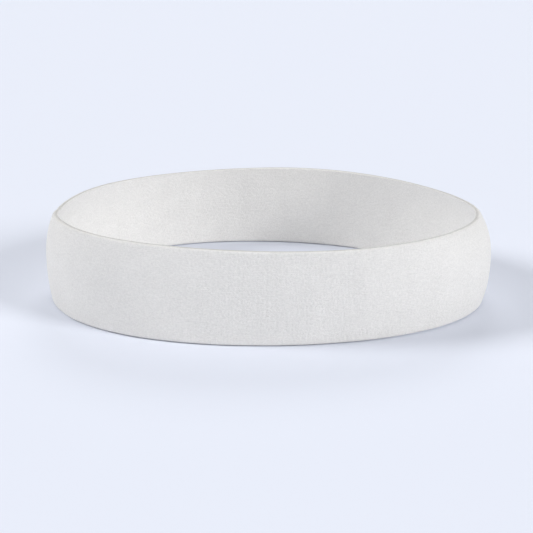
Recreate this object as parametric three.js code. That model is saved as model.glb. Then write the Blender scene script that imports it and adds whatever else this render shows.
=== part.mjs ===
import * as THREE from 'three';

// A sports headband: a loop of soft double knit with an elastic inside it.
// Millimetres. +Z runs up through the loop, +X is the long axis of the oval and the
// closing seam, which is worn at the back of the head, is at the -X end.

// ---- Driving dimensions ----------------------------------------------------------

const BAND_HEIGHT = 37.5;        // rim to rim
const HALF_LENGTH = 96.5;        // of the wall's mid surface, along X
const HALF_DEPTH = 80.4;         // of the wall's mid surface, along Y
const FRONT_FLATNESS = 2.4;      // how much flatter the -Y side of the oval is
const BACK_FULLNESS = 1.9;       // how much fuller the -X half of the oval is

const KNIT_THICKNESS = 0.5;      // of the outer cover and of the inner lining
const ELASTIC_THICKNESS = 0.7;
const LAYER_GAP = 0.3;           // between the elastic and each knit layer
const WALL_THICKNESS = ELASTIC_THICKNESS + 2 * (LAYER_GAP + KNIT_THICKNESS);

const TOP_RIM_DRAW = 5.2;        // how far the elastic draws the top rim in at the ends
const BOTTOM_RIM_DRAW = 2.5;     // and the bottom rim
const SIDE_DRAW_SHARE = 0.3;     // the share of that draw on the long sides
const RIM_DRAW_POWER = 2.2;      // how late the wall turns in, from mid height to a rim

const RIM_RADIUS = 0.8;          // of the rim's two rounded corners
const RIM_SEAM_ANGLE = 40;       // degrees of the inner corner that the rim seam takes up
const ELASTIC_HEIGHT = 32;
const ELASTIC_EDGE_RADIUS = 0.25;

const THREAD_RADIUS = 0.2;       // of the closing stitches
const RIM_THREAD_RADIUS = 0.3;   // of the chain of thread inside each rim
const CLOSING_GAP = 1.0;         // between the two ends of a strip
const CLOSING_STITCH = 3.0;      // length of one closing stitch
const CLOSING_WEAVE = 0.1;       // how far the closing thread weaves in and out
const CLOSING_MARGIN = 2.0;      // the closing stitches stop this far from the rims
const ELASTIC_SEAM_SHIFT = 15;   // the elastic is joined this far from the closing seam

// ---- Mesh fineness ---------------------------------------------------------------

const STATIONS = 72;             // steps round the loop
const KNIT_FACE_STEPS = 6;       // steps up a knit layer's face
const ELASTIC_FACE_STEPS = 4;
const CORNER_STEPS = 2;          // steps round a rim corner
const THREAD_SIDES = 6;
const STEPS_PER_STITCH = 4;

// ---- Derived dimensions ----------------------------------------------------------

const HALF_HEIGHT = BAND_HEIGHT / 2;
const HALF_WALL = WALL_THICKNESS / 2;
const KNIT_INSIDE = HALF_WALL - KNIT_THICKNESS;
const INNER_RIM_RADIUS = RIM_RADIUS - KNIT_THICKNESS;
const CREST_EDGE = HALF_WALL - RIM_RADIUS;
const CORNER_HEIGHT = HALF_HEIGHT - RIM_RADIUS;
const CLOSING_ANGLE = Math.PI;
const ELASTIC_SEAM_ANGLE = CLOSING_ANGLE + ELASTIC_SEAM_SHIFT / HALF_DEPTH;
const RIM_THREAD_HEIGHT = HALF_HEIGHT - KNIT_THICKNESS - LAYER_GAP - RIM_THREAD_RADIUS;
const CLOSING_THREAD_OFFSET = KNIT_INSIDE + THREAD_RADIUS + CLOSING_WEAVE;
const KNIT_STITCH_REACH = HALF_HEIGHT - CLOSING_MARGIN;
const ELASTIC_STITCH_REACH = ELASTIC_HEIGHT / 2 - CLOSING_MARGIN;

// ---- The loop --------------------------------------------------------------------

// A point of the mid surface's oval, seen from above.
function ovalPoint(angle) {
  const x = HALF_LENGTH * Math.cos(angle);
  const depth = HALF_DEPTH * Math.sin(angle);
  const flattening = FRONT_FLATNESS * Math.cos(2 * angle);
  const filling = BACK_FULLNESS * Math.sin(2 * angle);
  return new THREE.Vector2(x, depth - flattening - filling);
}

// The oval's speed: how far its point moves for each radian of the angle.
function ovalTangent(angle) {
  const x = -HALF_LENGTH * Math.sin(angle);
  const depth = HALF_DEPTH * Math.cos(angle);
  const flattening = -2 * FRONT_FLATNESS * Math.sin(2 * angle);
  const filling = 2 * BACK_FULLNESS * Math.cos(2 * angle);
  return new THREE.Vector2(x, depth - flattening - filling);
}

// How far the wall stands in from the oval at a height above or below its middle.
function rimDraw(height, normal) {
  const draw = height > 0 ? TOP_RIM_DRAW : BOTTOM_RIM_DRAW;
  const share = SIDE_DRAW_SHARE + (1 - SIDE_DRAW_SHARE) * normal.x ** 2;
  return draw * share * (Math.abs(height) / HALF_HEIGHT) ** RIM_DRAW_POWER;
}

// A point of the wall: offset is outwards from its mid surface, height from its middle.
function wallPoint(angle, offset, height) {
  const tangent = ovalTangent(angle).normalize();
  const normal = new THREE.Vector2(tangent.y, -tangent.x);
  const place = ovalPoint(angle).addScaledVector(normal, offset - rimDraw(height, normal));
  return new THREE.Vector3(place.x, place.y, height + HALF_HEIGHT);
}

// ---- Strips ----------------------------------------------------------------------

// The points of an arc, angles in degrees.
function arc(offset, height, radius, from, to) {
  const points = [];
  for (let step = 0; step <= CORNER_STEPS; step += 1) {
    const angle = THREE.MathUtils.degToRad(THREE.MathUtils.lerp(from, to, step / CORNER_STEPS));
    points.push(new THREE.Vector2(
      offset + radius * Math.cos(angle),
      height + radius * Math.sin(angle),
    ));
  }
  return points;
}

// The points between two heights of a straight face, without its ends.
function face(offset, from, to, steps) {
  const points = [];
  for (let step = 1; step < steps; step += 1) {
    points.push(new THREE.Vector2(offset, THREE.MathUtils.lerp(from, to, step / steps)));
  }
  return points;
}

// A strip with the given section, whose x is the offset from the wall's mid surface and
// whose y is the height, bent round the loop. Its two ends face each other at the seam.
function bentStrip(section, seamAngle, stations) {
  const strip = new THREE.ExtrudeGeometry(new THREE.Shape(section), {
    depth: 1,
    steps: stations,
    bevelEnabled: false,
  });
  const halfGap = CLOSING_GAP / 2 / ovalTangent(seamAngle).length();
  const position = strip.getAttribute('position');
  for (let i = 0; i < position.count; i += 1) {
    const along = position.getZ(i);
    const angle = seamAngle - halfGap - along * (2 * Math.PI - 2 * halfGap);
    const point = wallPoint(angle, position.getX(i), position.getY(i));
    position.setXYZ(i, point.x, point.y, point.z);
  }
  return strip;
}

// ---- Threads ---------------------------------------------------------------------

class PathCurve extends THREE.Curve {
  constructor(pointAt) {
    super();
    this.pointAt = pointAt;
  }

  getPoint(t) {
    return this.pointAt(t);
  }
}

function thread(pointAt, radius, steps) {
  const section = new THREE.Shape();
  section.absarc(0, 0, radius, 0, 2 * Math.PI);
  return new THREE.ExtrudeGeometry(section, {
    steps,
    curveSegments: THREAD_SIDES / 2,
    extrudePath: new PathCurve(pointAt),
    bevelEnabled: false,
  });
}

// A thread that runs round inside a rim, from one side of the closing seam to the other.
function rimThread(height) {
  const endGap = CLOSING_GAP / HALF_DEPTH;
  const pointAt = (t) => wallPoint(
    CLOSING_ANGLE + endGap + t * (2 * Math.PI - 2 * endGap),
    0,
    height,
  );
  return thread(pointAt, RIM_THREAD_RADIUS, STATIONS);
}

// A thread that weaves up a strip's closing gap, in and out through the layer.
function closingThread(seamAngle, offset, halfLength) {
  const stitches = Math.round(2 * halfLength / CLOSING_STITCH);
  const pointAt = (t) => wallPoint(
    seamAngle,
    offset + CLOSING_WEAVE * Math.sin(2 * Math.PI * stitches * t),
    halfLength * (2 * t - 1),
  );
  return thread(pointAt, THREAD_RADIUS, stitches * STEPS_PER_STITCH);
}

// ---- Sub-parts -------------------------------------------------------------------

// The outer knit layer: the outer face, and both rims as far as their seam with the lining.
function outerCover() {
  const section = [
    new THREE.Vector2(-CREST_EDGE, -HALF_HEIGHT),
    ...arc(CREST_EDGE, -CORNER_HEIGHT, RIM_RADIUS, -90, 0),
    ...face(HALF_WALL, -CORNER_HEIGHT, CORNER_HEIGHT, KNIT_FACE_STEPS),
    ...arc(CREST_EDGE, CORNER_HEIGHT, RIM_RADIUS, 0, 90),
    new THREE.Vector2(-CREST_EDGE, HALF_HEIGHT),
    new THREE.Vector2(-CREST_EDGE, HALF_HEIGHT - KNIT_THICKNESS),
    ...arc(CREST_EDGE, CORNER_HEIGHT, INNER_RIM_RADIUS, 90, 0),
    ...face(KNIT_INSIDE, CORNER_HEIGHT, -CORNER_HEIGHT, KNIT_FACE_STEPS),
    ...arc(CREST_EDGE, -CORNER_HEIGHT, INNER_RIM_RADIUS, 0, -90),
    new THREE.Vector2(-CREST_EDGE, -HALF_HEIGHT + KNIT_THICKNESS),
  ];
  return bentStrip(section, CLOSING_ANGLE, STATIONS);
}

// The skin-side knit layer, from the seam in one rim's inner corner to the other's.
function innerLining() {
  const start = 90 + RIM_SEAM_ANGLE;
  const section = [
    ...arc(-CREST_EDGE, CORNER_HEIGHT, RIM_RADIUS, start, 180),
    ...face(-HALF_WALL, CORNER_HEIGHT, -CORNER_HEIGHT, KNIT_FACE_STEPS),
    ...arc(-CREST_EDGE, -CORNER_HEIGHT, RIM_RADIUS, -180, -start),
    ...arc(-CREST_EDGE, -CORNER_HEIGHT, INNER_RIM_RADIUS, -start, -180),
    ...face(-KNIT_INSIDE, -CORNER_HEIGHT, CORNER_HEIGHT, KNIT_FACE_STEPS),
    ...arc(-CREST_EDGE, CORNER_HEIGHT, INNER_RIM_RADIUS, 180, start),
  ];
  return bentStrip(section, CLOSING_ANGLE, STATIONS);
}

// The elastic that grips the head, lying loose between the two knit layers.
function elasticCore() {
  const side = ELASTIC_THICKNESS / 2;
  const end = ELASTIC_HEIGHT / 2;
  const edge = ELASTIC_EDGE_RADIUS;
  const section = [
    new THREE.Vector2(side, -end + edge),
    ...face(side, -end + edge, end - edge, ELASTIC_FACE_STEPS),
    new THREE.Vector2(side, end - edge),
    new THREE.Vector2(side - edge, end),
    new THREE.Vector2(-side + edge, end),
    new THREE.Vector2(-side, end - edge),
    ...face(-side, end - edge, -end + edge, ELASTIC_FACE_STEPS),
    new THREE.Vector2(-side, -end + edge),
    new THREE.Vector2(-side + edge, -end),
    new THREE.Vector2(side - edge, -end),
  ];
  return bentStrip(section, ELASTIC_SEAM_ANGLE, STATIONS);
}

// ---- Assembly --------------------------------------------------------------------

const coverKnit = new THREE.MeshStandardMaterial({ color: 0xe9e9e8, roughness: 0.95, metalness: 0 });
const liningKnit = new THREE.MeshStandardMaterial({ color: 0xe4e4e3, roughness: 0.95, metalness: 0 });
const elasticWeb = new THREE.MeshStandardMaterial({ color: 0xdcdbd6, roughness: 0.8, metalness: 0 });
const sewingThread = new THREE.MeshStandardMaterial({ color: 0xefefec, roughness: 0.6, metalness: 0 });

const subParts = [
  ['outer_cover', outerCover(), coverKnit],
  ['inner_lining', innerLining(), liningKnit],
  ['elastic_core', elasticCore(), elasticWeb],
  ['top_rim_thread', rimThread(RIM_THREAD_HEIGHT), sewingThread],
  ['bottom_rim_thread', rimThread(-RIM_THREAD_HEIGHT), sewingThread],
  ['cover_closing_stitches',
    closingThread(CLOSING_ANGLE, CLOSING_THREAD_OFFSET, KNIT_STITCH_REACH), sewingThread],
  ['lining_closing_stitches',
    closingThread(CLOSING_ANGLE, -CLOSING_THREAD_OFFSET, KNIT_STITCH_REACH), sewingThread],
  ['elastic_closing_stitches',
    closingThread(ELASTIC_SEAM_ANGLE, 0, ELASTIC_STITCH_REACH), sewingThread],
];

const group = new THREE.Group();
for (const [name, geometry, material] of subParts) {
  const mesh = new THREE.Mesh(geometry, material.clone());
  mesh.name = name;
  group.add(mesh);
}

// The origin goes under the middle of the band, on the surface that it stands on.
const extent = new THREE.Box3().setFromObject(group);
const middle = extent.getCenter(new THREE.Vector3());
group.position.set(-middle.x, -middle.y, -extent.min.z);

export default group;
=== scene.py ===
# The looks of a sports headband: a loop of soft white double knit over an elastic.
# Everything is in metres, in the part's own frame: +Z up through the loop, the oval's
# long axis along X, and the closing seam, worn at the back of the head, at -X.
#
# A place in the wall is given by three lengths: along the loop from the closing seam,
# clockwise from above; outwards from the wall's mid surface; and upwards from mid height.

import math

import bpy
import numpy as np
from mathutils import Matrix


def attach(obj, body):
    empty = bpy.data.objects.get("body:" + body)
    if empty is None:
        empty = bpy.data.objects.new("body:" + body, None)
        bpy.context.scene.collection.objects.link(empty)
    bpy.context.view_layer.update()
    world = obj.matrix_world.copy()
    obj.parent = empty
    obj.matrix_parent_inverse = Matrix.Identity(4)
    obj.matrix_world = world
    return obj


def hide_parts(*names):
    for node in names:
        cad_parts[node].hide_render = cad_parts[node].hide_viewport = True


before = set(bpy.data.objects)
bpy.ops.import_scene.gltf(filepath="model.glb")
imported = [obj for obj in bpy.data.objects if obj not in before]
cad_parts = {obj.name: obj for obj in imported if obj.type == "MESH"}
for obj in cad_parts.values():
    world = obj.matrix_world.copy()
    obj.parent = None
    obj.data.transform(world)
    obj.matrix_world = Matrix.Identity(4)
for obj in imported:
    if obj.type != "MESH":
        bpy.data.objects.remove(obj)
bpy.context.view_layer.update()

MM = 0.001

# ---- Driving dimensions, as in the CAD -------------------------------------------

BAND_HEIGHT = 37.5 * MM
HALF_LENGTH = 96.5 * MM        # of the wall's mid surface, along X
HALF_DEPTH = 80.4 * MM         # of the wall's mid surface, along Y
FRONT_FLATNESS = 2.4 * MM      # how much flatter the -Y side of the oval is
BACK_FULLNESS = 1.9 * MM       # how much fuller the -X half of the oval is
KNIT_THICKNESS = 0.5 * MM
ELASTIC_THICKNESS = 0.7 * MM
LAYER_GAP = 0.3 * MM
WALL_THICKNESS = ELASTIC_THICKNESS + 2 * (LAYER_GAP + KNIT_THICKNESS)
TOP_RIM_DRAW = 5.2 * MM        # how far the elastic draws the top rim in at the ends
BOTTOM_RIM_DRAW = 2.5 * MM
RIM_DRAW_POWER = 2.2           # how late the wall turns in, from mid height to a rim
RIM_RADIUS = 0.8 * MM          # of a rim's two rounded corners
ELASTIC_HEIGHT = 32.0 * MM
ELASTIC_EDGE_RADIUS = 0.25 * MM
ELASTIC_SEAM_SHIFT = 15.0 * MM
CLOSING_STITCH = 3.0 * MM
CLOSING_MARGIN = 2.0 * MM      # from a rim, or the elastic's edge, to the closing stitches

HALF_HEIGHT = BAND_HEIGHT / 2
HALF_WALL = WALL_THICKNESS / 2
KNIT_INSIDE = HALF_WALL - KNIT_THICKNESS
CREST_EDGE = HALF_WALL - RIM_RADIUS
CORNER_HEIGHT = HALF_HEIGHT - RIM_RADIUS
INNER_RIM_RADIUS = RIM_RADIUS - KNIT_THICKNESS

# Where the two knits' edges lie on a rim's inner corner, in degrees up from sideways. They
# lie closer together than in the CAD. A face is what a knit shows, from edge to edge.
RIM_SEAM_START = 62.0          # the lining's edge
RIM_SEAM_END = 76.0            # the cover's edge
LINING_FACE = 2 * CORNER_HEIGHT + 2 * RIM_RADIUS * math.radians(RIM_SEAM_START)
COVER_CORNERS = 2 * RIM_RADIUS * math.radians(90 + 90 - RIM_SEAM_END)
COVER_FACE = 2 * CORNER_HEIGHT + 4 * CREST_EDGE + COVER_CORNERS

# ---- How the soft band lies ------------------------------------------------------

# Slow waves round the loop, as (size, waves in the loop, phase in radians).
OUTWARD_WAVES = ((1.11 * MM, 2, 2.24), (0.27 * MM, 3, -2.19), (0.44 * MM, 4, 2.65))
TOP_RIM_WAVES = ((0.30 * MM, 2, -1.87), (0.29 * MM, 3, -1.73), (0.34 * MM, 4, 1.59))
BOTTOM_RIM_WAVES = ((0.11 * MM, 2, 1.66), (0.12 * MM, 4, 2.44))
# How far out the rims lean from where the elastic draws them, also as waves.
TOP_LEAN_WAVES = ((0.38 * MM, 2, 3.6),)
BOTTOM_LEAN_WAVES = ((0.7 * MM, 1, 0.0),)
BACK_LEAN = 0.9 * MM           # how much more the top rim leans out on the +Y side
BACK_LEAN_PLACE = 153.0 * MM   # along the loop
BACK_LEAN_REACH = 26.0 * MM
SIDE_DRAW_SHARE = 0.22         # how much of the rims' draw is left on the long sides
# Faint folds across the +X end, where the band bends most.
END_FOLD_SIZE = 0.12 * MM
END_FOLD_PITCH = 7.5 * MM
END_FOLD_REACH = 15.0 * MM
END_FOLD_SLANT = 0.5           # how many folds a fold leans by on its way up
# Soft bumps that run up the wall, as (size, bumps in the loop, phase, lean).
WALL_BUMPS = ((0.10 * MM, 17, 2.1, 1.1), (0.06 * MM, 31, 0.4, -1.7), (0.035 * MM, 53, 4.0, 2.6))
BUMP_FADE = 0.15               # where on a half wave the bumps start and stop, at the rims
PUCKER_DEPTH = 0.28 * MM       # how far the closing seam draws the wall in
PUCKER_REACH = 2.6 * MM
DIMPLE_DEPTH = 0.09 * MM       # of the dimple at each closing stitch
SEAM_DIP = 2.1 * MM            # how far the closing seam pulls the top rim down
SEAM_DIP_REACH = 24.0 * MM
SEAM_DIP_POWER = 3             # the higher, the nearer to the rim the dip stays
SEAM_EASE = 2.3 * MM           # how much less the elastic draws the top rim in there
SEAM_EASE_REACH = 28.0 * MM

# ---- The wall --------------------------------------------------------------------

SEAM_ANGLE = math.pi


def oval(angle):
    """Points of the wall's mid surface seen from above, and their outward normals."""
    x = HALF_LENGTH * np.cos(angle)
    y = HALF_DEPTH * np.sin(angle)
    y = y - FRONT_FLATNESS * np.cos(2 * angle) - BACK_FULLNESS * np.sin(2 * angle)
    dx = -HALF_LENGTH * np.sin(angle)
    dy = HALF_DEPTH * np.cos(angle)
    dy = dy + 2 * FRONT_FLATNESS * np.sin(2 * angle) - 2 * BACK_FULLNESS * np.cos(2 * angle)
    speed = np.hypot(dx, dy)
    return x, y, dy / speed, -dx / speed


# The oval's length from the closing seam, stepped finely so that it can be read backwards.
STEP_ANGLES = SEAM_ANGLE - np.linspace(0.0, 2 * math.pi, 4001)
STEP_X, STEP_Y, _, STEP_NY = oval(STEP_ANGLES)
STEP_LENGTHS = np.hypot(np.diff(STEP_X), np.diff(STEP_Y))
LENGTH_SO_FAR = np.concatenate([[0.0], np.cumsum(STEP_LENGTHS)])
LOOP_LENGTH = LENGTH_SO_FAR[-1]

# The part's own frame has its middle halfway between the wall's two long sides.
OUTER_Y = STEP_Y + HALF_WALL * STEP_NY
CENTRE_Y = (OUTER_Y.max() + OUTER_Y.min()) / 2


def waves(table, turn):
    return sum(size * np.cos(count * turn - phase) for size, count, phase in table)


# The lowest wave of the bottom rim stands on the floor.
EVERY_TURN = np.linspace(0.0, 2 * math.pi, 721)
STANDING_HEIGHT = -waves(BOTTOM_RIM_WAVES, EVERY_TURN).min()


def seam_distance(along):
    along = np.mod(along, LOOP_LENGTH)
    return np.minimum(along, LOOP_LENGTH - along)


def near_seam(along, reach):
    """1 at the closing seam, falling smoothly to almost nothing at twice a reach from it."""
    return np.exp(-((seam_distance(along) / reach) ** 2))


def softness(along, height):
    """How far the soft wall stands out from the even one, and how far up."""
    turn = 2 * math.pi * along / LOOP_LENGTH
    share = height / BAND_HEIGHT + 0.5
    out = waves(OUTWARD_WAVES, turn)
    for size, count, phase, lean in WALL_BUMPS:
        fade = np.sin(math.pi * (BUMP_FADE + (1 - 2 * BUMP_FADE) * np.clip(share, 0, 1)))
        out = out + size * fade * np.cos(count * turn - phase - lean * share)
    past_end = np.mod(along, LOOP_LENGTH) - LOOP_LENGTH / 2
    fold = np.cos(2 * math.pi * (past_end / END_FOLD_PITCH - END_FOLD_SLANT * share))
    out = out + END_FOLD_SIZE * fold * np.exp(-((past_end / END_FOLD_REACH) ** 2))
    dimple = np.cos(2 * math.pi * height / CLOSING_STITCH)
    out = out - near_seam(along, PUCKER_REACH) * (PUCKER_DEPTH + DIMPLE_DEPTH * dimple)
    lift = share * waves(TOP_RIM_WAVES, turn) + (1 - share) * waves(BOTTOM_RIM_WAVES, turn)
    lift = lift - SEAM_DIP * share**SEAM_DIP_POWER * near_seam(along, SEAM_DIP_REACH)
    return out, lift + STANDING_HEIGHT


def wall_points(along, outward, height):
    """Points of the soft wall, which the elastic draws in towards both rims."""
    angle = np.interp(np.mod(along, LOOP_LENGTH), LENGTH_SO_FAR, STEP_ANGLES)
    x, y, nx, ny = oval(angle)
    turn = 2 * math.pi * along / LOOP_LENGTH
    share = SIDE_DRAW_SHARE + (1 - SIDE_DRAW_SHARE) * nx**2
    top_draw = TOP_RIM_DRAW * share - waves(TOP_LEAN_WAVES, turn)
    top_draw = top_draw - SEAM_EASE * near_seam(along, SEAM_EASE_REACH)
    past_lean = np.mod(along, LOOP_LENGTH) - BACK_LEAN_PLACE
    top_draw = top_draw - BACK_LEAN * np.exp(-((past_lean / BACK_LEAN_REACH) ** 2))
    bottom_draw = BOTTOM_RIM_DRAW * share - waves(BOTTOM_LEAN_WAVES, turn)
    draw = np.where(height > 0, top_draw, bottom_draw)
    out, lift = softness(along, height)
    reach = outward + out - draw * (np.abs(height) / HALF_HEIGHT) ** RIM_DRAW_POWER
    z = height + lift + HALF_HEIGHT
    return np.stack([x + nx * reach, y - CENTRE_Y + ny * reach, z], axis=-1)


# ---- Materials -------------------------------------------------------------------


class Nodes:
    """Adds nodes to a material and links them."""

    def __init__(self, name):
        self.material = bpy.data.materials.new(name)
        self.material.use_nodes = True
        self.tree = self.material.node_tree
        self.shader = self.tree.nodes["Principled BSDF"]

    def feed(self, socket, source):
        if isinstance(source, bpy.types.NodeSocket):
            self.tree.links.new(source, socket)
        else:
            socket.default_value = source

    def add(self, kind, inputs=(), **settings):
        node = self.tree.nodes.new(kind)
        for name, value in settings.items():
            setattr(node, name, value)
        for name, source in dict(inputs).items():
            self.feed(node.inputs[name], source)
        return node

    def maths(self, operation, *operands):
        node = self.add("ShaderNodeMath", operation=operation)
        for socket, operand in zip(node.inputs, operands):
            self.feed(socket, operand)
        return node.outputs[0]

    def place(self, scale_along, scale_up):
        """The piece's own coordinates, scaled. On a cloth they are in millimetres."""
        uv = self.add("ShaderNodeUVMap", uv_map="knit").outputs[0]
        scaled = self.add(
            "ShaderNodeVectorMath", {0: uv, 1: (scale_along, scale_up, 1.0)}, operation="MULTIPLY"
        )
        return scaled.outputs[0]

    def noise(self, vector, detail=2.0, roughness=0.5):
        """Noise from 0 to 1, with its middle at 0.5."""
        inputs = {"Vector": vector, "Scale": 1.0, "Detail": detail, "Roughness": roughness}
        return self.add("ShaderNodeTexNoise", inputs).outputs[0]

    def spread(self, source, low, high):
        """Moves a value that runs from 0 to 1 to run from low to high."""
        node = self.add("ShaderNodeMapRange", {0: source, 3: low, 4: high})
        return node.outputs[0]

    def tint(self, colour, shade):
        """Gives the shader a colour, made lighter or darker by a shade round 1."""
        tone = self.add("ShaderNodeVectorMath", {0: colour, "Scale": shade}, operation="SCALE")
        self.feed(self.shader.inputs["Base Color"], tone.outputs[0])

    def bump(self, height, distance, strength, normal=None):
        inputs = {"Height": height, "Distance": distance, "Strength": strength}
        if normal is not None:
            inputs["Normal"] = normal
        return self.add("ShaderNodeBump", inputs).outputs[0]


WALE = 0.95                    # width of one column of stitches, in millimetres
COURSE = 0.72                  # height of one row of stitches
LEG_SLANT = 1.5                # rows that a stitch's leg climbs across a whole wale
PURL_SWAY = 0.28               # rows that a purl ridge sways up and down
WANDER = 0.35                  # wales that a column strays to each side
WANDER_SCALE = 0.35            # of the noise behind it, per millimetre
KNIT_COLOUR = (0.872, 0.855, 0.825)
COVER_RELIEF = 0.28            # depth of the cover's relief, in millimetres
LINING_RELIEF = 0.22
FUZZ_RELIEF = 0.04

# The noises in a knit besides its stitches, by their scale per millimetre, along and up.
YARN_SCALE = (1.25, 1.5)
PEBBLE_SCALE = (0.62, 0.7)
FUZZ_SCALE = (7.0, 7.0)
MOTTLE_SCALE = (0.09, 0.12)
STREAK_SCALE = (0.55, 0.03)
# How much of each goes into the relief.
STITCH_SHARE = 0.5
YARN_SHARE = 0.9
PEBBLE_SHARE = 0.9
STREAK_SHARE = 0.12
# How dark and how light each makes the colour.
STITCH_SHADES = (0.95, 1.01)
YARN_SHADES = (0.87, 1.13)
PEBBLE_SHADES = (0.95, 1.05)
MOTTLE_SHADES = (0.96, 1.04)
STREAK_SHADES = (0.99, 1.01)


def stitch_grid(n):
    """Coordinates that count the knit's stitches across and up."""
    wander = n.noise(n.place(WANDER_SCALE, WANDER_SCALE))
    uv = n.add("ShaderNodeSeparateXYZ", {0: n.place(1 / WALE, 1 / COURSE)}).outputs
    return n.maths("ADD", uv[0], n.spread(wander, -WANDER, WANDER)), uv[1]


def face_stitches(n):
    """The face side of a knit: columns of V-shaped stitches. From 0 to 1."""
    across, up = stitch_grid(n)
    across = n.maths("PINGPONG", across, 0.5)
    rise = n.maths("MULTIPLY_ADD", across, -LEG_SLANT, up)
    leg = n.maths("SINE", n.maths("MULTIPLY", n.maths("FRACT", rise), math.pi))
    width = n.maths("SINE", n.maths("MULTIPLY", across, 2 * math.pi))
    return n.maths("SQRT", n.maths("MAXIMUM", n.maths("MULTIPLY", leg, width), 0.0))


def purl_stitches(n):
    """The purl side of a knit: rows of wavy ridges. From 0 to 1."""
    across, up = stitch_grid(n)
    sway = n.maths("SINE", n.maths("MULTIPLY", across, 2 * math.pi))
    rise = n.maths("MULTIPLY_ADD", sway, PURL_SWAY, up)
    ridge = n.maths("SINE", n.maths("MULTIPLY", rise, 2 * math.pi))
    return n.maths("MULTIPLY_ADD", ridge, 0.5, 0.5)


# Painted shade along the rims: a knit's colour is darkened there for the shade in the seam groove
# and on the crest.
COVER_RIM_PAINTED_SHADE = 0.70         # of a knit's colour at a rim: painted shade
LINING_RIM_PAINTED_SHADE = 0.96
RIM_FADE_START = 1.5           # millimetres from the knit's edge
RIM_FADE_END = 0.7


def painted_rim_shade(n, face, darkest):
    """Painted shade: falls from 1 to the darkest shade at both edges of a knit's face of a given
    width.
    """
    half_mm = face / 2 / MM
    up = n.add("ShaderNodeSeparateXYZ", {0: n.place(1.0, 1.0)}).outputs[1]
    reach = n.maths("ABSOLUTE", n.maths("SUBTRACT", up, half_mm))
    inputs = {0: reach, 1: half_mm - RIM_FADE_START, 2: half_mm - RIM_FADE_END, 3: 1.0, 4: darkest}
    return n.add("ShaderNodeMapRange", inputs).outputs[0]


def knit_material(name, stitches, relief_mm, face, darkest):
    """Soft knit: stitches, uneven yarn, pebbles, fuzz and a slow mottling, with painted shade
    along its rims.
    """
    n = Nodes(name)
    stitch = stitches(n)
    yarn = n.noise(n.place(*YARN_SCALE), detail=2.0, roughness=0.55)
    pebble = n.noise(n.place(*PEBBLE_SCALE), detail=1.0)
    fuzz = n.noise(n.place(*FUZZ_SCALE), detail=2.0, roughness=0.7)
    mottle = n.noise(n.place(*MOTTLE_SCALE), detail=3.0, roughness=0.6)
    streak = n.noise(n.place(*STREAK_SCALE), detail=2.0)

    relief = n.maths("MULTIPLY", yarn, YARN_SHARE)
    relief = n.maths("MULTIPLY_ADD", stitch, STITCH_SHARE, relief)
    relief = n.maths("MULTIPLY_ADD", pebble, PEBBLE_SHARE, relief)
    relief = n.maths("MULTIPLY_ADD", streak, STREAK_SHARE, relief)
    normal = n.bump(relief, relief_mm * MM, 1.0)
    normal = n.bump(fuzz, FUZZ_RELIEF * MM, 0.6, normal)
    n.feed(n.shader.inputs["Normal"], normal)

    shade = n.spread(stitch, *STITCH_SHADES)
    shade = n.maths("MULTIPLY", shade, n.spread(yarn, *YARN_SHADES))
    shade = n.maths("MULTIPLY", shade, n.spread(pebble, *PEBBLE_SHADES))
    shade = n.maths("MULTIPLY", shade, n.spread(mottle, *MOTTLE_SHADES))
    shade = n.maths("MULTIPLY", shade, n.spread(streak, *STREAK_SHADES))
    # painted shade along both rims, for the shade in the seam groove and on the crest
    shade = n.maths("MULTIPLY", shade, painted_rim_shade(n, face, darkest))
    n.tint(KNIT_COLOUR, shade)
    n.feed(n.shader.inputs["Roughness"], n.spread(yarn, 0.98, 0.86))
    n.shader.inputs["Specular IOR Level"].default_value = 0.25
    n.shader.inputs["Sheen Weight"].default_value = 0.22
    n.shader.inputs["Sheen Roughness"].default_value = 0.45
    return n.material


STRAND_PITCH = 0.9             # millimetres between the elastic's loops of yarn
STRAND_HEIGHT = 2.0            # and up one covered strand
WEB_COLOUR = (0.80, 0.79, 0.75)
PLIES = 2.0                    # twisted together in a thread
PLY_LENGTH = 0.45              # millimetres along a thread from ply to ply
THREAD_COLOUR = (0.86, 0.86, 0.85)


def web_material():
    """Ribbed elastic: covered rubber strands lengthwise, with loops of yarn across them."""
    n = Nodes("elastic_web")
    uv = n.add("ShaderNodeSeparateXYZ", {0: n.place(1 / STRAND_PITCH, 1 / STRAND_HEIGHT)}).outputs
    offset = n.maths("MULTIPLY", n.maths("FLOOR", uv[1]), 0.5)
    loop = n.maths("PINGPONG", n.maths("ADD", uv[0], offset), 0.5)
    loop = n.maths("SMOOTH_MIN", n.maths("MULTIPLY", loop, 3.0), 1.0, 0.3)
    yarn = n.noise(n.place(4.0, 2.0), detail=3.0, roughness=0.6)
    relief = n.maths("MULTIPLY_ADD", yarn, 0.4, loop)
    n.feed(n.shader.inputs["Normal"], n.bump(relief, 0.12 * MM, 0.8))
    shade = n.maths("MULTIPLY", n.spread(loop, 0.86, 1.0), n.spread(yarn, 0.95, 1.04))
    n.tint(WEB_COLOUR, shade)
    n.feed(n.shader.inputs["Roughness"], n.spread(yarn, 0.75, 0.6))
    n.shader.inputs["Sheen Weight"].default_value = 0.1
    return n.material


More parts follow.
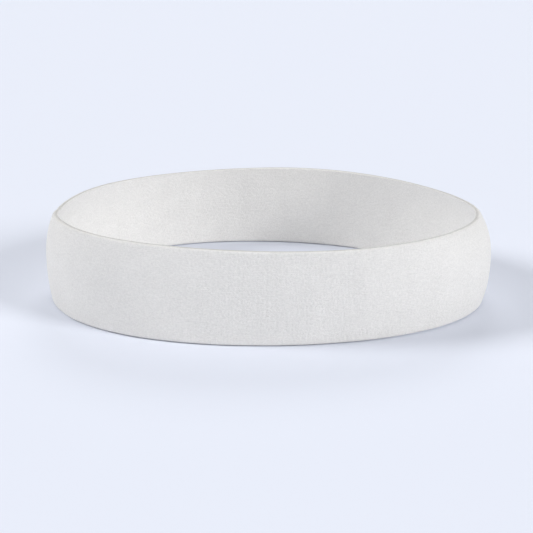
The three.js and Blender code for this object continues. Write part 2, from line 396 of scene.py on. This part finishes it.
def thread_material():
    """Twisted sewing thread. Its coordinates are millimetres along it and turns round it."""
    n = Nodes("sewing_thread")
    uv = n.add("ShaderNodeSeparateXYZ", {0: n.place(1 / PLY_LENGTH, 1.0)}).outputs
    turn = n.maths("MULTIPLY_ADD", uv[1], PLIES, uv[0])
    ply = n.maths("PINGPONG", turn, 0.5)
    yarn = n.noise(n.place(9.0, 5.0), detail=2.0)
    relief = n.maths("MULTIPLY_ADD", yarn, 0.3, ply)
    n.feed(n.shader.inputs["Normal"], n.bump(relief, 0.05 * MM, 0.8))
    shade = n.maths("MULTIPLY", n.spread(ply, 0.84, 1.1), n.spread(yarn, 0.97, 1.03))
    n.tint(THREAD_COLOUR, shade)
    n.feed(n.shader.inputs["Roughness"], n.spread(yarn, 0.6, 0.45))
    n.shader.inputs["Sheen Weight"].default_value = 0.15
    return n.material


COVER_KNIT = knit_material(
    "cover_knit", face_stitches, COVER_RELIEF, COVER_FACE, COVER_RIM_PAINTED_SHADE
)
LINING_KNIT = knit_material(
    "lining_knit", purl_stitches, LINING_RELIEF, LINING_FACE, LINING_RIM_PAINTED_SHADE
)
ELASTIC_WEB = web_material()
SEWING_THREAD = thread_material()

# ---- Meshes ----------------------------------------------------------------------


def grid_object(name, grid, along, around, material):
    """A closed tube from a grid of points, columns along it and rows around it, with flat
    ends. Its coordinates are along, one for each column, and around, one for each row and
    one more for the first row again."""
    columns, rows = grid.shape[:2]
    index = np.arange(columns * rows).reshape(columns, rows)
    after = np.roll(index, -1, axis=1)
    quads = np.stack([index[:-1], index[1:], after[1:], after[:-1]], axis=-1).reshape(-1, 4)
    left, right = along[:-1, None], along[1:, None]
    low, high = around[None, :-1], around[None, 1:]
    corners = np.broadcast_arrays(left, low, right, low, right, high, left, high)
    uvs = np.stack(corners, axis=-1).reshape(-1)
    ends = [index[0].tolist(), index[-1, ::-1].tolist()]
    mesh = bpy.data.meshes.new(name)
    mesh.from_pydata(grid.reshape(-1, 3).tolist(), [], quads.tolist() + ends)
    layer = mesh.uv_layers.new(name="knit")
    layer.data.foreach_set("uv", np.concatenate([uvs, np.zeros(4 * rows)]).astype(np.float32))
    mesh.polygons.foreach_set("use_smooth", [True] * len(quads) + [False] * 2)
    mesh.materials.append(material)
    mesh.update()
    piece = bpy.data.objects.new(name, mesh)
    bpy.context.scene.collection.objects.link(piece)
    return piece


# A section of a strip is a closed outline with a row for each point: outwards and up, the
# direction that a cut end rolls away from there, and 1 on a knit's outer face, else 0.

OUTER_FACE = 1.0
INNER_FACE = 0.0


def corner(side, end, radius, start, stop, steps, which):
    """Part of a rim's rounded corner. side is 1 outwards and -1 inwards, end is 1 at the
    top rim and -1 at the bottom one, and the angles run from 0 sideways to 90 upright."""
    angles = np.radians(np.linspace(start, stop, steps + 1))
    facing = np.stack([side * np.cos(angles), end * np.sin(angles)], axis=-1)
    middle = np.array([side * CREST_EDGE, end * CORNER_HEIGHT])
    return np.column_stack([middle + radius * facing, facing, np.full(steps + 1, which)])


def upright(side, outward, start, stop, steps, which):
    """The inner points of a straight run up or down the wall."""
    heights = np.linspace(start, stop, steps + 1)[1:-1]
    return np.array([[side * outward, height, side, 0.0, which] for height in heights])


EDGE_SWINGS = (50, 90, 130)    # degrees round a cloth's edge, from its outer face


def rounded_edge(side, end, angle, turn):
    """The rounded edge of a cloth that ends at an angle of a rim's corner. turn is 1 where
    the cloth ends on its way up from sideways, and -1 where it comes down from the crest."""
    angle = math.radians(angle)
    facing = np.array([side * math.cos(angle), end * math.sin(angle)])
    onward = np.array([-side * math.sin(angle), end * math.cos(angle)]) * turn
    middle = np.array([side * CREST_EDGE, end * CORNER_HEIGHT])
    middle = middle + (RIM_RADIUS - KNIT_THICKNESS / 2) * facing
    half = KNIT_THICKNESS / 2
    rows = []
    for degrees in EDGE_SWINGS:
        swing = math.radians(degrees)
        point = middle + half * (math.cos(swing) * facing + math.sin(swing) * onward)
        rows.append([*point, *facing, OUTER_FACE if degrees < 90 else INNER_FACE])
    return np.array(rows)


SEAM_GAP = 0.06 * MM           # between the two ends of a strip
EDGE_ROLL = 0.6 * MM           # how far from its end a strip starts to roll in
ROLL_DEPTH = 0.42 * MM         # of the outer face
INNER_ROLL_SHARE = 0.35        # of that depth, on the inner face and on the elastic
ROLL_LIMIT = 0.99              # just short of a whole quarter turn
END_LENGTH = 3.0 * MM          # of the finely stepped stretch at each end of a strip
END_CROWDING = 1.7             # how much closer the steps get towards the end


def stations(even_steps, end_steps):
    """Lengths along a strip for its sections, closer together towards its two ends."""
    near = END_LENGTH * np.linspace(0.0, 1.0, end_steps + 1)[:-1] ** END_CROWDING
    middle = np.linspace(END_LENGTH, LOOP_LENGTH - END_LENGTH, even_steps + 1)
    lengths = np.concatenate([near, middle, (LOOP_LENGTH - near)[::-1]])
    lengths[0] += SEAM_GAP / 2
    lengths[-1] -= SEAM_GAP / 2
    return lengths


def end_roll(along):
    """How far a strip has rolled in towards its cut ends, from 0 to nearly 1."""
    inside = np.clip(1 - (seam_distance(along) - SEAM_GAP / 2) / EDGE_ROLL, 0.0, 1.0)
    return 1 - np.sqrt(1 - ROLL_LIMIT * inside**2)


def strip(name, section, along, start, material):
    """A strip with a section, bent round the loop from a start and back to it."""
    roll = ROLL_DEPTH * end_roll(along)[:, None]
    roll = roll * (INNER_ROLL_SHARE + (1 - INNER_ROLL_SHARE) * section[:, 4])
    outward = section[:, 0] - roll * section[:, 2]
    height = section[:, 1] - roll * section[:, 3]
    places = np.repeat(along[:, None] + start, len(section), axis=1)
    closed = np.vstack([section[:, :2], section[:1, :2]])
    steps = np.hypot(*np.diff(closed, axis=0).T)
    around = np.concatenate([[0.0], np.cumsum(steps)])
    grid = wall_points(places, outward, height)
    return grid_object(name, grid, along / MM, around / MM, material)


def whole(piece, node):
    """Hangs a piece under the root body and hides the CAD part that it stands for."""
    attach(piece, "root")
    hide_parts(node)


KNIT_STEPS = 40                # up the face of a knit
COVER_CORNER_STEPS = 6         # round a rim's outer corner
LINING_CORNER_STEPS = 5        # round its inner corner, up to the rim seam
EDGE_STEPS = 1                 # from the crest down to the rim seam
HIDDEN_STEPS = 14              # up a knit's hidden side
HIDDEN_CORNER_STEPS = 2        # and round a corner of it
KNIT_COLUMNS = 900             # along it, and more in the finely stepped stretches
KNIT_END_COLUMNS = 16


def outer_cover():
    """The outer knit, which turns over both rims."""
    thin = INNER_RIM_RADIUS
    section = np.vstack([
        corner(-1, -1, RIM_RADIUS, RIM_SEAM_END, 90, EDGE_STEPS, OUTER_FACE),
        corner(1, -1, RIM_RADIUS, 90, 0, COVER_CORNER_STEPS, OUTER_FACE),
        upright(1, HALF_WALL, -CORNER_HEIGHT, CORNER_HEIGHT, KNIT_STEPS, OUTER_FACE),
        corner(1, 1, RIM_RADIUS, 0, 90, COVER_CORNER_STEPS, OUTER_FACE),
        corner(-1, 1, RIM_RADIUS, 90, RIM_SEAM_END, EDGE_STEPS, OUTER_FACE),
        rounded_edge(-1, 1, RIM_SEAM_END, -1),
        corner(-1, 1, thin, RIM_SEAM_END, 90, EDGE_STEPS, INNER_FACE),
        corner(1, 1, thin, 90, 0, HIDDEN_CORNER_STEPS, INNER_FACE),
        upright(1, KNIT_INSIDE, CORNER_HEIGHT, -CORNER_HEIGHT, HIDDEN_STEPS, INNER_FACE),
        corner(1, -1, thin, 0, 90, HIDDEN_CORNER_STEPS, INNER_FACE),
        corner(-1, -1, thin, 90, RIM_SEAM_END, EDGE_STEPS, INNER_FACE),
        rounded_edge(-1, -1, RIM_SEAM_END, -1)[::-1],
    ])
    along = stations(KNIT_COLUMNS, KNIT_END_COLUMNS)
    piece = strip("outer_cover_knit", section, along, 0.0, COVER_KNIT)
    whole(piece, "outer_cover")


def inner_lining():
    """The knit against the skin, sewn to the cover along both rims."""
    thin = INNER_RIM_RADIUS
    section = np.vstack([
        corner(-1, 1, RIM_RADIUS, RIM_SEAM_START, 0, LINING_CORNER_STEPS, OUTER_FACE),
        upright(-1, HALF_WALL, CORNER_HEIGHT, -CORNER_HEIGHT, KNIT_STEPS, OUTER_FACE),
        corner(-1, -1, RIM_RADIUS, 0, RIM_SEAM_START, LINING_CORNER_STEPS, OUTER_FACE),
        rounded_edge(-1, -1, RIM_SEAM_START, 1),
        corner(-1, -1, thin, RIM_SEAM_START, 0, HIDDEN_CORNER_STEPS, INNER_FACE),
        upright(-1, KNIT_INSIDE, -CORNER_HEIGHT, CORNER_HEIGHT, HIDDEN_STEPS, INNER_FACE),
        corner(-1, 1, thin, 0, RIM_SEAM_START, HIDDEN_CORNER_STEPS, INNER_FACE),
        rounded_edge(-1, 1, RIM_SEAM_START, 1)[::-1],
    ])
    along = stations(KNIT_COLUMNS, KNIT_END_COLUMNS)
    piece = strip("inner_lining_knit", section, along, 0.0, LINING_KNIT)
    whole(piece, "inner_lining")


RIBS = 16                      # up the elastic
RIB_DEPTH = 0.07 * MM
RIB_STEPS = 4                  # up one rib
ELASTIC_COLUMNS = 440
ELASTIC_END_COLUMNS = 6


def elastic_core():
    """The elastic between the two knits, ribbed lengthwise."""
    straight = ELASTIC_HEIGHT - 2 * ELASTIC_EDGE_RADIUS
    heights = np.linspace(-0.5, 0.5, RIBS * RIB_STEPS + 1)
    ribbing = RIB_DEPTH * (0.5 - 0.5 * np.cos(2 * math.pi * RIBS * heights))
    outward = ELASTIC_THICKNESS / 2 - RIB_DEPTH + ribbing
    outward[[0, -1]] = ELASTIC_THICKNESS / 2 - RIB_DEPTH
    rows = [[o, h * straight, 1.0, 0.0, 0.0] for o, h in zip(outward, heights)]
    rows += [[0.0, ELASTIC_HEIGHT / 2, 0.0, 1.0, 0.0]]
    rows += [[-o, h * straight, -1.0, 0.0, 0.0] for o, h in zip(outward, -heights)]
    rows += [[0.0, -ELASTIC_HEIGHT / 2, 0.0, -1.0, 0.0]]
    along = stations(ELASTIC_COLUMNS, ELASTIC_END_COLUMNS)
    piece = strip("elastic_core_web", np.array(rows), along, -ELASTIC_SEAM_SHIFT, ELASTIC_WEB)
    whole(piece, "elastic_core")


def thread(name, node, path, radius, sides):
    """A round thread along a path of points."""
    tangents = np.gradient(path, axis=0)
    tangents /= np.linalg.norm(tangents, axis=1)[:, None]
    first = np.cross(tangents, path - path.mean(axis=0))
    first /= np.linalg.norm(first, axis=1)[:, None]
    second = np.cross(tangents, first)
    angles = np.linspace(0.0, 2 * math.pi, sides, endpoint=False)[None, :, None]
    spokes = np.cos(angles) * first[:, None] + np.sin(angles) * second[:, None]
    grid = path[:, None] + radius * spokes
    lengths = np.linalg.norm(np.diff(path, axis=0), axis=1)
    along = np.concatenate([[0.0], np.cumsum(lengths)])
    piece = grid_object(name, grid, along / MM, np.linspace(0.0, 1.0, sides + 1), SEWING_THREAD)
    whole(piece, node)


RIM_THREAD_RADIUS = 0.22 * MM
RIM_THREAD_SIDES = 6
RIM_STITCH = 2.5 * MM
RIM_STITCH_STEPS = 8
RIM_SWAY = 0.25 * MM           # how far a rim's thread sways from side to side
RIM_BOB = 0.06 * MM            # and up and down
RIM_THREAD_DROP = 0.3 * MM     # how far below the gap under the knit a rim's thread lies
RIM_THREAD_DEPTH = KNIT_THICKNESS + LAYER_GAP + RIM_THREAD_DROP
RIM_THREAD_END = 0.6 * MM      # how far from the closing seam a rim's thread stops
CLOSING_THREAD_RADIUS = 0.13 * MM
CLOSING_THREAD_SIDES = 8
CLOSING_STITCH_STEPS = 20
CLOSING_REACH = 0.85 * MM      # how far each side of the seam a closing stitch goes in
KNIT_STITCH_DEPTH = 0.32 * MM  # from the middle of the cloth to a closing stitch's thread
WEB_STITCH_DEPTH = 0.40 * MM


def rim_thread(name, node, end):
    """The seam that joins the two knits along a rim, inside the fold."""
    stitches = round(LOOP_LENGTH / RIM_STITCH)
    steps = stitches * RIM_STITCH_STEPS
    along = np.linspace(RIM_THREAD_END, LOOP_LENGTH - RIM_THREAD_END, steps + 1)
    phase = 2 * math.pi * stitches * along / LOOP_LENGTH
    outward = RIM_SWAY * np.sin(phase)
    height = HALF_HEIGHT - RIM_THREAD_DEPTH + RIM_BOB * np.cos(2 * phase)
    path = wall_points(along, outward, end * height)
    thread(name, node, path, RIM_THREAD_RADIUS, RIM_THREAD_SIDES)


def closing_thread(name, node, outward, depth, start, half_length):
    """A whipstitch up a seam: over it on one side of the cloth and back on the other."""
    stitches = int(2 * half_length / CLOSING_STITCH)
    turns = np.linspace(0.0, stitches, stitches * CLOSING_STITCH_STEPS + 1)
    phase = 2 * math.pi * turns
    along = start + CLOSING_REACH * np.cos(phase)
    height = CLOSING_STITCH * (turns - stitches / 2)
    path = wall_points(along, outward + depth * np.sin(phase), height)
    thread(name, node, path, CLOSING_THREAD_RADIUS, CLOSING_THREAD_SIDES)


outer_cover()
inner_lining()
elastic_core()
rim_thread("top_rim_seam", "top_rim_thread", 1)
rim_thread("bottom_rim_seam", "bottom_rim_thread", -1)
KNIT_MIDDLE = HALF_WALL - KNIT_THICKNESS / 2
closing_thread(
    "cover_seam_stitches", "cover_closing_stitches",
    KNIT_MIDDLE, KNIT_STITCH_DEPTH, 0.0, HALF_HEIGHT - CLOSING_MARGIN,
)
closing_thread(
    "lining_seam_stitches", "lining_closing_stitches",
    -KNIT_MIDDLE, -KNIT_STITCH_DEPTH, 0.0, HALF_HEIGHT - CLOSING_MARGIN,
)
closing_thread(
    "elastic_seam_stitches", "elastic_closing_stitches",
    0.0, WEB_STITCH_DEPTH, -ELASTIC_SEAM_SHIFT, ELASTIC_HEIGHT / 2 - CLOSING_MARGIN,
)

# ---- Stage and camera ------------------------------------------------------------

CAMERA_AZIMUTH = math.radians(3.5)
CAMERA_ELEVATION = math.radians(15.7)
CAMERA_DISTANCE = 0.5454
CAMERA_AIM = (-0.0002, -0.0053, 0.0105)    # from the loop's middle, level with its bottom rim
LENS_MM = 83.5
SENSOR_MM = 36.0


def direction(azimuth, elevation):
    """From the middle of the scene towards an azimuth from -Y and an elevation."""
    return (
        math.sin(azimuth) * math.cos(elevation),
        -math.cos(azimuth) * math.cos(elevation),
        math.sin(elevation),
    )


def look_from(target, azimuth, elevation, distance, data):
    """An object that looks at a target from a distance: a camera or a lamp."""
    viewer = bpy.data.objects.new(data.name, data)
    back = direction(azimuth, elevation)
    viewer.location = [t + distance * b for t, b in zip(target, back)]
    viewer.rotation_euler = (math.pi / 2 - elevation, 0.0, azimuth)
    bpy.context.scene.collection.objects.link(viewer)
    return viewer


def make_camera():
    data = bpy.data.cameras.new("camera")
    data.lens = LENS_MM
    data.sensor_width = SENSOR_MM
    data.clip_start = 0.01
    data.clip_end = 100.0
    aim = (CAMERA_AIM[0], CAMERA_AIM[1], CAMERA_AIM[2] + STANDING_HEIGHT)
    camera = look_from(aim, CAMERA_AZIMUTH, CAMERA_ELEVATION, CAMERA_DISTANCE, data)
    bpy.context.scene.camera = camera


FLOOR_REACH = 30.0
FLOOR_DROP = 0.1 * MM          # keeps the floor just clear of the bottom rim
FLOOR_COLOUR = (0.755, 0.785, 0.87, 1.0)
ROOM_COLOUR = (0.985, 1.0, 1.03, 1.0)


def make_floor():
    mesh = bpy.data.meshes.new("floor")
    reach = FLOOR_REACH
    corners = [(-reach, -reach, 0), (reach, -reach, 0), (reach, reach, 0), (-reach, reach, 0)]
    mesh.from_pydata(corners, [], [(0, 1, 2, 3)])
    floor = bpy.data.objects.new("floor", mesh)
    floor.location.z = -FLOOR_DROP
    bpy.context.scene.collection.objects.link(floor)
    n = Nodes("floor")
    n.shader.inputs["Base Color"].default_value = FLOOR_COLOUR
    n.shader.inputs["Roughness"].default_value = 0.9
    n.shader.inputs["Specular IOR Level"].default_value = 0.1
    mesh.materials.append(n.material)


SKY_GLOW = 0.38                # of the room overhead
HORIZON_GLOW = 0.49            # that the room's walls add at the horizon
HORIZON_FALLOFF = 4.0          # how fast that fades upwards
LAMP_DISTANCE = 4.0            # only marks its place: parallel light has no distance
LAMP_WIDTH = math.radians(22.0)


def make_world():
    """A pale room: an even glow, with more of it from the walls than from the ceiling."""
    world = bpy.data.worlds.new("world")
    world.use_nodes = True
    tree = world.node_tree
    background = tree.nodes["Background"]
    background.inputs["Color"].default_value = ROOM_COLOUR
    place = tree.nodes.new("ShaderNodeTexCoord")
    split = tree.nodes.new("ShaderNodeSeparateXYZ")
    tree.links.new(place.outputs["Generated"], split.inputs[0])
    source = split.outputs[2]
    # SKY_GLOW + HORIZON_GLOW * (1 - |z|) ** HORIZON_FALLOFF
    steps = (("ABSOLUTE", ()), ("MULTIPLY_ADD", (-1.0, 1.0)), ("POWER", (HORIZON_FALLOFF,)),
             ("MULTIPLY_ADD", (HORIZON_GLOW, SKY_GLOW)))
    for operation, operands in steps:
        node = tree.nodes.new("ShaderNodeMath")
        node.operation = operation
        tree.links.new(source, node.inputs[0])
        for socket, value in zip(list(node.inputs)[1:], operands):
            socket.default_value = value
        source = node.outputs[0]
    tree.links.new(source, background.inputs["Strength"])
    bpy.context.scene.world = world


def lamp(name, azimuth, elevation, strength):
    """A wide soft lamp of parallel light, at an azimuth and elevation in degrees."""
    data = bpy.data.lights.new(name, "SUN")
    data.angle = LAMP_WIDTH
    data.energy = strength
    origin = (0.0, 0.0, 0.0)
    look_from(origin, math.radians(azimuth), math.radians(elevation), LAMP_DISTANCE, data)


make_camera()
make_floor()
make_world()
lamp("key", 62, 26, 1.84)
lamp("fill", -88, 35, 1.70)
lamp("back", 180, 35, 0.62)
bpy.context.scene.view_settings.view_transform = "Standard"
